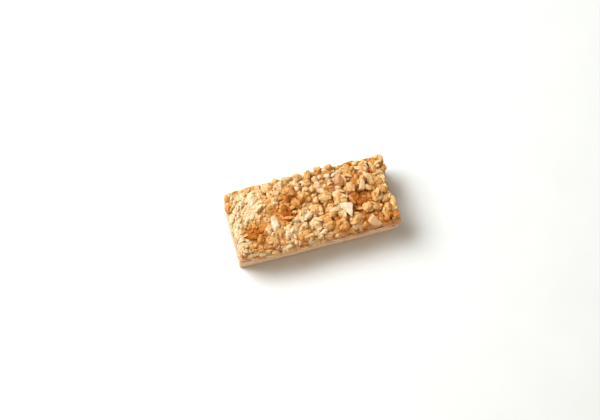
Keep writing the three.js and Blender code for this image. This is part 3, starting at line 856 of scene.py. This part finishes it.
def crumb_piece(name, c, steps, relief=1.0):
    """One piece from many crumbs, with painted shade in their clefts and deep in the heap, but not so
    much deep down along the long sides. Gives its points."""
    points, faces, crease_shade = lumps(c, steps, relief)
    points, cut = trim(points, c["slack"], c["overhang"])
    tone = c["tone"][:, None] + 0.12 * noise(points, 3.2, 43)
    inner = smooth(WIDTH / 2 + BELLY - np.abs(points[..., 1]), 0.5, 5)
    # Painted shade: crumbs darken with depth under the surface, less so near the long sides.
    heap_shade = smooth(crumb_surface(points[..., 0], points[..., 1]) - points[..., 2], *HEAP_SHADE_DEPTHS) * (1 - cut)
    heap_shade = heap_shade * (0.2 + 0.8 * inner)
    crease_shade = np.clip(crease_shade + 0.75 * heap_shade, 0, 1)
    values = {"tone": tone, "crease_shade": crease_shade, "cut": cut, "soaked": soaked(points)}
    make_piece(name, points, [faces], values, "streusel", ["streusel"])
    return points


def cut_crumbs(number, sizes, heights, first, sink):
    """Crumbs in a band round the cut sides, some cut through and some standing out whole, most of
    all in the left half of the front."""
    order = np.arange(number)
    item = first + order
    loop_x, loop_y = rim(1200, 485)
    at = ((order + 0.5 * draw(item, 9)) * len(loop_x) / number).astype(int) % len(loop_x)
    size = draw_from(sizes, item, 6)
    z = draw_from(heights, item, 7)
    inset = (sink + draw_from((-0.3, 0.4), item, 13)) * size
    x, y = onto_cut(loop_x[at], loop_y[at], z, inset, True)
    kept = apart(x, y, pale_parts).min(1) > PALE_REACH + 0.5 * size
    item, x, y, z, size = (values[kept] for values in (item, x, y, z, size))
    c = crumbs(item, x, y, z, size, ground_tone(x, y, item), CHUNK)
    in_front = (y < -WIDTH / 2 + 6) & (np.abs(x) < LENGTH / 2 - 7)
    share = np.where(in_front, 1 - 0.75 * smooth(x, -8, 6), 0.4)
    c["overhang"] = draw_from((0.2, 1.0), item, 14) * share
    return c


def heap_crumbs(rows, first, sink):
    """Crumbs in the heap from rows of x, y, how far above the mean they reach, radius and tone, each
    sunk by a share of its radius."""
    x, y, lift, size, tone = rows.T
    z = crumb_surface(x, y) + lift - sink * size
    return crumbs(first + np.arange(len(x)), x, y, z, size, tone, CHUNK)


def edge_crumbs():
    """Single crumbs that hang on or over the cut sides."""
    x, y, z, size, tone = EDGE_CRUMBS.T
    c = crumbs(7600 + np.arange(len(x)), x, y, z, size, tone, CHUNK)
    c["overhang"][:] = EDGE_OVERHANG
    c["half"] = np.minimum(c["half"], 1.05 * size[:, None])
    return c


def outside_gaps(x, y, size):
    """Which places are clear of the gaps and of the pale pieces."""
    off_gaps = apart(x, y, GAPS) > GAPS[:, 2] + 0.3 * size[:, None]
    return off_gaps.all(1) & (apart(x, y, pale_parts) > PALE_CLEAR).all(1)


def strewn(number, start, sizes, first, high, rise, pale, form, thinned=(0.45, 0.0)):
    """Crumbs strewn on the heap, each raised by a share of its radius, with the share that is left
    out in the fused left part and in the loose right part."""
    item = first + np.arange(number)
    x, y = scatter(item - first, 1.2, start)
    size = draw_from(sizes, item, 6)
    fused = 1 - smooth(x, *FUSED_TOP)
    left_out = thinned[0] * fused + thinned[1] * (1 - fused)
    keep = outside_gaps(x, y, size) & (draw(item, 17) > left_out)
    item, x, y, size = item[keep], x[keep], y[keep], size[keep]
    z = height_at(high, x, y) + rise * size
    return crumbs(item, x, y, z, size, pale * ground_tone(x, y, item), form)


def long_flakes(high):
    """The named flakes, each lying on the heap in its own direction."""
    x, y, half, turn = LONG_FLAKES.T
    item = 6900 + np.arange(len(x))
    share = np.array([-0.55, -0.25, 0, 0.25, 0.55])[:, None] * half
    under = height_at(high, x + share * np.cos(np.radians(turn)), y + share * np.sin(np.radians(turn)))
    z = 0.5 * under.max(0) + 0.5 * under.mean(0) + 0.3
    c = crumbs(item, x, y, z, half / 1.6, 0.04 + 0.12 * draw(item, 8), FLAKE)
    c.update(turn=np.radians(turn), tip=0.35 * c["tip"])
    return c


bed = streusel_bed()
places = clump_places()
clump_points = crumb_piece("streusel_clumps", solid_clumps(places), 15)
medium = heap_crumbs(filled_in(places, 500, 0.13, (2.0, 3.8), 0.78, 101), 5000, 0.5)
chunks = together([medium, heap_crumbs(TOP_CRUMBS, 7900, 0.75)])
chunk_points = crumb_piece("streusel_chunks", chunks, 9)
high = height_map([bed, clump_points, chunk_points])

small = strewn(240, 0.57, (1.2, 2.3), 6000, high, -0.15, 1.0, CHUNK)
small_points = crumb_piece("streusel_crumbs", small, 5)
flakes = together([strewn(150, 0.23, (1.2, 2.5), 6600, high, 0.1, 0.6, FLAKE), long_flakes(high)])
flake_points = crumb_piece("streusel_flakes", flakes, 6, 0.5)

sides = together([
    cut_crumbs(46, (2.9, 4.2), (22.4, 24.4), 4000, 0.5),
    cut_crumbs(90, (1.5, 2.7), (20.0, 22.4), 7000, 0.45),
    cut_crumbs(90, (1.4, 2.8), (24.5, 28.5), 7200, 0.45),
])
crumb_piece("streusel_cut_crumbs", sides, 8, 1.7)
crumb_piece("streusel_edge_crumbs", edge_crumbs(), 12, 1.5)
high = height_map([bed, clump_points, chunk_points, small_points, flake_points])

bits = strewn(620, 0.91, (0.35, 0.95), 8000, high, -0.1, 1.0, CHUNK, (0.0, 0.65))
crumb_piece("streusel_bits", bits, 2, 0.6)

baked_base()
apple_layer()


# ---- Pale pieces ------------------------------------------------------------------------------


def weathered(points, centre, crumbly):
    """Roughens a pale piece outwards by noise of 2.6, 1.3 and 0.6 mm, with a few chipped places, and
    breaks it into crumb as far as it is crumbly. Gives how low each point lies too, which sets
    painted shade in its hollows."""
    out = points - centre
    out = out / np.linalg.norm(out, axis=-1, keepdims=True)
    chipped = pores(points, 2.4, 110, 0.35)
    rough = 0.3 * noise(points, 2.6, 111) + 0.12 * noise(points, 1.3, 112)
    rough = rough + 0.06 * noise(points, 0.6, 113)
    crumb, cleft = broken(points, 2.8, 114)
    rough = rough - 0.3 * chipped + crumbly * (0.45 * crumb - 0.25 * cleft)
    return points + out * rough[..., None], np.clip(0.4 - 1.6 * rough, 0, 1)


def pale_piece(name, form, points, faces, tint, crease_shade):
    """The piece for one pale node: apple_piece_1 becomes apple_chip_1, for one."""
    values = {"tint": np.full(points.shape[:2], tint), "crease_shade": crease_shade}
    slot = name.rsplit("_", 1)[0]
    make_piece(name.replace("piece", form), points, faces, values, slot, [name])


def chip(name, centre, thick, tip, corners, tint):
    """A flat chip: its outline, straight with corners rounded by quadratic curves, is carried up a
    profile whose edges are quarter circles, and closed in rings to the middle of each face."""
    corners = np.array(corners, float)
    before, after = np.roll(corners, 1, 0) - corners, np.roll(corners, -1, 0) - corners
    start = corners + CHIP_CORNER * before / np.linalg.norm(before, axis=1, keepdims=True)
    end = corners + CHIP_CORNER * after / np.linalg.norm(after, axis=1, keepdims=True)
    t = np.linspace(0, 1, 9)[None, :, None]
    bend = start[:, None] * (1 - t) ** 2 + 2 * corners[:, None] * t * (1 - t) + end[:, None] * t**2
    s = np.linspace(0, 1, 13)[None, 1:-1, None]
    straight = end[:, None] * (1 - s) + np.roll(start, -1, 0)[:, None] * s
    outline = np.concatenate([bend, straight], 1).reshape(-1, 2)[::-1]
    middle = outline.mean(0)
    radius = np.linalg.norm(outline - middle, axis=1).mean()
    arc = np.linspace(0, np.pi / 2, 6)
    inner = np.array([0.02, 0.2, 0.4, 0.6, 0.78])
    edge = 1 - CHIP_EDGE * (1 - np.sin(arc)) / radius
    level = thick / 2 - CHIP_EDGE * (1 - np.cos(arc))
    scale = np.concatenate([inner * edge[0], edge, edge[::-1], (inner * edge[0])[::-1]])
    height = np.concatenate([np.full(5, -thick / 2), -level, level[::-1], np.full(5, thick / 2)])
    plan = middle + (outline - middle)[None] * scale[:, None, None]
    points = np.concatenate([plan, np.broadcast_to(height[:, None, None], plan[..., :1].shape)], -1)
    crown = 0.35 * np.sign(height) * (1 - scale**2)
    points[..., 2] += crown[:, None]
    a, b = np.radians(tip)
    about_x = np.array([[1, 0, 0], [0, np.cos(a), -np.sin(a)], [0, np.sin(a), np.cos(a)]])
    about_y = np.array([[np.cos(b), 0, np.sin(b)], [0, 1, 0], [-np.sin(b), 0, np.cos(b)]])
    points = points @ (about_y @ about_x).T
    points, crease_shade = weathered(points + np.array(centre), np.array(centre), 0.6 * (tint > 0.5))
    rows, columns = points.shape[:2]
    around = np.arange(columns)
    faces = [grid_faces(rows, columns, True), around[None, ::-1], (rows - 1) * columns + around[None]]
    points, _ = trim(points, np.zeros(rows), np.full(rows, EDGE_OVERHANG))
    pale_piece(name, "chip", points, faces, tint, crease_shade)


def pale_lump(name, item, centre, half, turn, tint, crumbly, ridges):
    """A pale lump with six eased faces; its ridges are a sine across its width."""
    number = np.array([item])
    c = crumbs(number, *(np.array([float(v)]) for v in centre), np.array([4.0]), np.zeros(1), CLUMP)
    c.update(
        half=np.array([half], float),
        turn=np.radians([float(turn)]),
        tip=draw_from((-0.25, 0.25), number, 4),
        faces=6,
    )
    directions, quads = cube_sphere(22)
    local = directions * reach_of(directions, c)[..., None] * c["half"][:, None]
    groove = 1 - ridges * (0.5 + 0.5 * np.sin(local[..., 0] * 4.6)) * smooth(local[..., 2], -1, 1)
    points = c["place"][:, None] + np.einsum("nij,nvj->nvi", turns(c), local * groove[..., None])
    points, crease_shade = weathered(points, c["place"][:, None], crumbly)
    pale_piece(name, "lump", points, [quads], tint, crease_shade)


for chip_row in CHIPS:
    chip(*chip_row)
for lump_row in LUMPS:
    pale_lump(*lump_row)


# ---- Finishes ---------------------------------------------------------------------------------


def shade(red, green, blue):
    """A colour given as it looks on a screen, 0 to 255, as linear light."""
    c = np.array([red, green, blue]) / 255
    linear = np.where(c <= 0.04045, c / 12.92, ((c + 0.055) / 1.055) ** 2.4)
    return (*linear.tolist(), 1.0)


class Finish:
    """A material whose nodes are added one by one and end in one Principled shader."""

    def __init__(self, name):
        self.material = bpy.data.materials.new(name)
        self.material.use_nodes = True
        self.tree = self.material.node_tree
        self.shader = self.tree.nodes["Principled BSDF"]
        self.place = self.node("TexCoord").outputs["Object"]

    def node(self, kind, sockets=None, **settings):
        """A node with its settings; each named socket gets a value or a link."""
        node = self.tree.nodes.new("ShaderNode" + kind)
        for key, value in settings.items():
            setattr(node, key, value)
        self.fill(node, sockets or {})
        return node

    def fill(self, node, sockets):
        for key, value in sockets.items():
            if isinstance(value, bpy.types.NodeSocket):
                self.tree.links.new(value, node.inputs[key])
            else:
                node.inputs[key].default_value = value

    def value_of(self, attribute):
        return self.node("Attribute", attribute_name=attribute).outputs["Fac"]

    def noise(self, size_mm, detail, stretch=(1, 1, 1)):
        """Noise whose lumps are that many millimetres across."""
        scaled = self.node("Mapping", {"Vector": self.place, "Scale": stretch}).outputs["Vector"]
        sockets = {"Vector": scaled, "Scale": 1000 / size_mm, "Detail": detail, "Roughness": 0.6}
        return self.node("TexNoise", sockets).outputs["Fac"]

    def math(self, operation, *values, clamp=False):
        node = self.node("Math", operation=operation, use_clamp=clamp)
        self.fill(node, dict(enumerate(values)))
        return node.outputs[0]

    def weighed(self, value, share, rest, clamp=False):
        """A value times a share, plus the rest."""
        return self.math("MULTIPLY_ADD", value, share, rest, clamp=clamp)

    def swing(self, size_mm, detail):
        """Noise about zero."""
        return self.math("SUBTRACT", self.noise(size_mm, detail), 0.5)

    def ramp(self, factor, *stops):
        """A colour by a factor; each stop is a position and its red, green and blue."""
        node = self.node("ValToRGB", {"Fac": factor})
        elements = node.color_ramp.elements
        while len(elements) < len(stops):
            elements.new(0.5)
        for element, (position, *colour) in zip(elements, stops):
            element.position, element.color = position, shade(*colour)
        return node.outputs["Color"]

    def mix(self, factor, a, b, blend="MIX"):
        node = self.node("Mix", data_type="RGBA", blend_type=blend)
        self.fill(node, {0: factor, 6: a, 7: b})
        return node.outputs[2]

    def bump(self, heights, depth_mm):
        """A bump of that depth in millimetres from heights of 0 to 1."""
        return self.node("Bump", {"Height": heights, "Distance": depth_mm * 0.001}).outputs["Normal"]

    def finish(self, colour, roughness, normal, weight, scatter_mm, specular=0.5):
        self.fill(self.shader, {"Base Color": colour, "Roughness": roughness, "Normal": normal})
        self.shader.inputs["Subsurface Weight"].default_value = weight
        self.shader.inputs["Subsurface Radius"].default_value = tuple(s * 0.001 for s in scatter_mm)
        self.shader.inputs["Subsurface Scale"].default_value = 1.0
        self.shader.inputs["Specular IOR Level"].default_value = specular
        return self.material


def streusel_finish():
    """Golden crumb: pale to brown by its tone with fine speckle, with painted shade that is redder and
    darker in creases and deep in the heap and darkest in the deepest pits, pale where it was cut,
    and pinkish where it took up juice."""
    f = Finish("golden streusel")
    speckle = f.swing(1.6, 4)
    darkness = f.weighed(speckle, 0.35, f.weighed(f.swing(5.5, 2), 0.4, f.value_of("tone")))
    baked = f.ramp(
        darkness,
        (0.0, 233, 206, 177),
        (0.28, 224, 186, 140),
        (0.52, 210, 158, 98),
        (0.78, 197, 127, 56),
        (1.0, 168, 92, 28),
    )
    hue = f.ramp(f.noise(5, 3), (0.38, 251, 255, 246), (0.62, 255, 247, 234))
    baked = f.mix(1.0, baked, hue, "MULTIPLY")
    # Painted shade: creases and depth in the heap turn the colour to a redder, darker shaded copy.
    crease_shade = f.value_of("crease_shade")
    shade_amount = f.math("MULTIPLY", f.math("POWER", crease_shade, 1.6), 0.75, clamp=True)
    shadowed = f.ramp(
        darkness,
        (0.1, 222, 148, 68),
        (0.45, 198, 106, 26),
        (0.9, 160, 72, 14),
    )
    shaded = f.mix(shade_amount, baked, shadowed)
    inside = f.ramp(
        f.noise(1.1, 4),
        (0.36, 204, 158, 110),
        (0.5, 230, 198, 158),
        (0.66, 244, 222, 190),
    )
    # Painted shade on the cut inside as well.
    opened = f.mix(f.math("MULTIPLY", shade_amount, 0.6), inside, shade(172, 104, 52))
    dry = f.mix(f.value_of("cut"), shaded, opened)
    # Painted shade: the deepest pits turn dark brown.
    pit_shade = f.math("MULTIPLY", f.math("POWER", crease_shade, 8.0), 0.6, clamp=True)
    dark = f.mix(pit_shade, dry, shade(116, 52, 32))
    colour = f.mix(f.math("MULTIPLY", f.value_of("soaked"), 0.82), dark, shade(220, 168, 148))
    fine = f.weighed(f.noise(0.32, 3), 0.4, f.noise(0.85, 4))
    roughness = f.weighed(speckle, -0.35, 0.72, clamp=True)
    return f.finish(colour, roughness, f.bump(fine, 0.08), 0.7, (1.7, 1.05, 0.6), 0.15)


def base_finish():
    """Pale baked crumb, browned at its foot, a little darker under the apple, and with painted shade in
    its pores.
    """
    f = Finish("pale baked crumb")
    height = f.node("SeparateXYZ", {"Vector": f.place}).outputs["Z"]
    uneven = f.weighed(f.swing(6, 3), 0.0022, height)
    layers = f.ramp(
        f.math("MULTIPLY", uneven, 1000 / 16),
        (0.0, 186, 130, 80),
        (0.045, 214, 166, 112),
        (0.12, 227, 199, 165),
        (0.6, 231, 207, 178),
        (0.8, 226, 188, 150),
        (0.92, 200, 146, 108),
    )
    mottle = f.ramp(f.noise(1.4, 4), (0.3, 226, 208, 190), (0.7, 255, 255, 250))
    colour = f.mix(0.8, layers, mottle, "MULTIPLY")
    # Painted shade in the pores.
    colour = f.mix(f.math("MULTIPLY", f.value_of("crease_shade"), 0.45), colour, shade(200, 148, 96))
    fine = f.weighed(f.noise(0.3, 2), 0.4, f.noise(0.8, 4))
    return f.finish(colour, 0.85, f.bump(fine, 0.22), 0.3, (2.2, 1.3, 0.6), 0.25)


def filling_finish():
    """Cooked apple: moist pulp from tan to rose by a slow noise, with paler, honey-coloured pieces, and
    darker gaps that are partly painted shade and partly brown juice.
    """
    f = Finish("cooked apple")
    pulp = f.ramp(
        f.weighed(f.swing(1.2, 3), 0.5, f.noise(9, 3)),
        (0.34, 220, 176, 138),
        (0.5, 212, 158, 130),
        (0.66, 198, 138, 120),
    )
    streaks = f.weighed(f.swing(1.6, 3), 0.8, f.value_of("whole"), clamp=True)
    flesh = f.mix(streaks, pulp, shade(236, 206, 160))
    # The gaps: partly painted shade, partly brown juice.
    colour = f.mix(f.math("MULTIPLY", f.value_of("crease_shade"), 0.6), flesh, shade(172, 112, 92))
    roughness = f.weighed(f.noise(1.2, 2), 0.35, 0.22)
    fine = f.weighed(f.noise(0.4, 2), 0.35, f.noise(1.1, 3))
    return f.finish(colour, roughness, f.bump(fine, 0.25), 0.45, (1.4, 0.8, 0.5), 0.5)


def pale_finish(name, *flesh):
    """Apple or nut flesh by its tint, with faint streaks and painted shade in its hollows."""
    f = Finish(name)
    streaks = f.math("SUBTRACT", f.noise(2.2, 4, (1, 0.4, 1)), 0.5)
    tinted = f.weighed(streaks, 0.5, f.value_of("tint"), clamp=True)
    # Painted shade in the hollows.
    darkness = f.math("MULTIPLY", f.value_of("crease_shade"), 0.6, clamp=True)
    colour = f.mix(darkness, f.ramp(tinted, *flesh), shade(196, 136, 78))
    fine = f.weighed(f.noise(0.35, 2), 0.3, f.noise(1.1, 3))
    return f.finish(colour, 0.55, f.bump(fine, 0.18), 0.35, (1.6, 1.1, 0.7), 0.4)


def floor_finish():
    """A pale, nearly even floor."""
    f = Finish("pale floor")
    colour = f.ramp(f.noise(40, 2), (0.3, 230, 229, 227), (0.7, 233, 232, 230))
    return f.finish(colour, 0.6, f.bump(f.noise(3, 2), 0.01), 0.0, (1, 1, 1), 0.2)


finishes = {
    "cake_base": base_finish(),
    "apple_filling": filling_finish(),
    "streusel": streusel_finish(),
    "apple_piece": pale_finish(
        "pale apple",
        (0.0, 246, 230, 200),
        (0.35, 224, 178, 128),
        (0.65, 202, 144, 98),
        (1.0, 222, 170, 104),
    ),
    "nut_piece": pale_finish(
        "pale nut",
        (0.0, 240, 222, 192),
        (0.5, 220, 184, 140),
        (1.0, 218, 166, 104),
    ),
}
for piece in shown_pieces():
    piece.data.materials.clear()
    piece.data.materials.append(finishes[piece["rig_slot"]])


# ---- Floor, light and camera ------------------------------------------------------------------


def floor():
    """A level square, 3 m wide, just under the slice."""
    half = 1.5
    mesh = bpy.data.meshes.new("floor")
    corners = [(-half, -half, 0), (half, -half, 0), (half, half, 0), (-half, half, 0)]
    mesh.from_pydata(corners, [], [(0, 1, 2, 3)])
    ground = bpy.data.objects.new("floor", mesh)
    bpy.context.scene.collection.objects.link(ground)
    ground.data.materials.append(floor_finish())
    ground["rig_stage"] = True


def lamp(name, place, size, power, colour):
    """A square soft light aimed at the slice."""
    data = bpy.data.lights.new(name, "AREA")
    data.size, data.energy, data.color = size, power, colour
    light = bpy.data.objects.new(name, data)
    light.location = place
    light.rotation_euler = (Vector((0, 0, 0.02)) - Vector(place)).to_track_quat("-Z", "Y").to_euler()
    bpy.context.scene.collection.objects.link(light)


def studio():
    """A warm, even surrounding, a large cool light from behind on the left, and a small warm one."""
    world = bpy.data.worlds.new("studio")
    world.use_nodes = True
    background = world.node_tree.nodes["Background"]
    background.inputs["Color"].default_value = (1, 0.91, 0.78, 1)
    background.inputs["Strength"].default_value = 0.36
    bpy.context.scene.world = world
    lamp("key", (-0.55, 0.5, 0.9), 0.8, 23.3, (0.9, 0.97, 1))
    lamp("fill", (0.2, -1.0, 0.22), 0.5, 2.0, (1, 0.87, 0.71))
    bpy.context.scene.view_settings.view_transform = "Standard"


def camera():
    """Looks at the target from the photograph's azimuth, elevation and distance."""
    a, e = math.radians(CAMERA_AZIMUTH), math.radians(CAMERA_ELEVATION)
    back = Vector((math.sin(a) * math.cos(e), -math.cos(a) * math.cos(e), math.sin(e)))
    data = bpy.data.cameras.new("camera")
    data.lens, data.sensor_width = LENS, SENSOR
    eye = bpy.data.objects.new("camera", data)
    eye.location = CAMERA_TARGET + back * CAMERA_DISTANCE
    eye.rotation_euler = (-back).to_track_quat("-Z", "Y").to_euler()
    bpy.context.scene.collection.objects.link(eye)
    bpy.context.scene.camera = eye


floor()
studio()
camera()
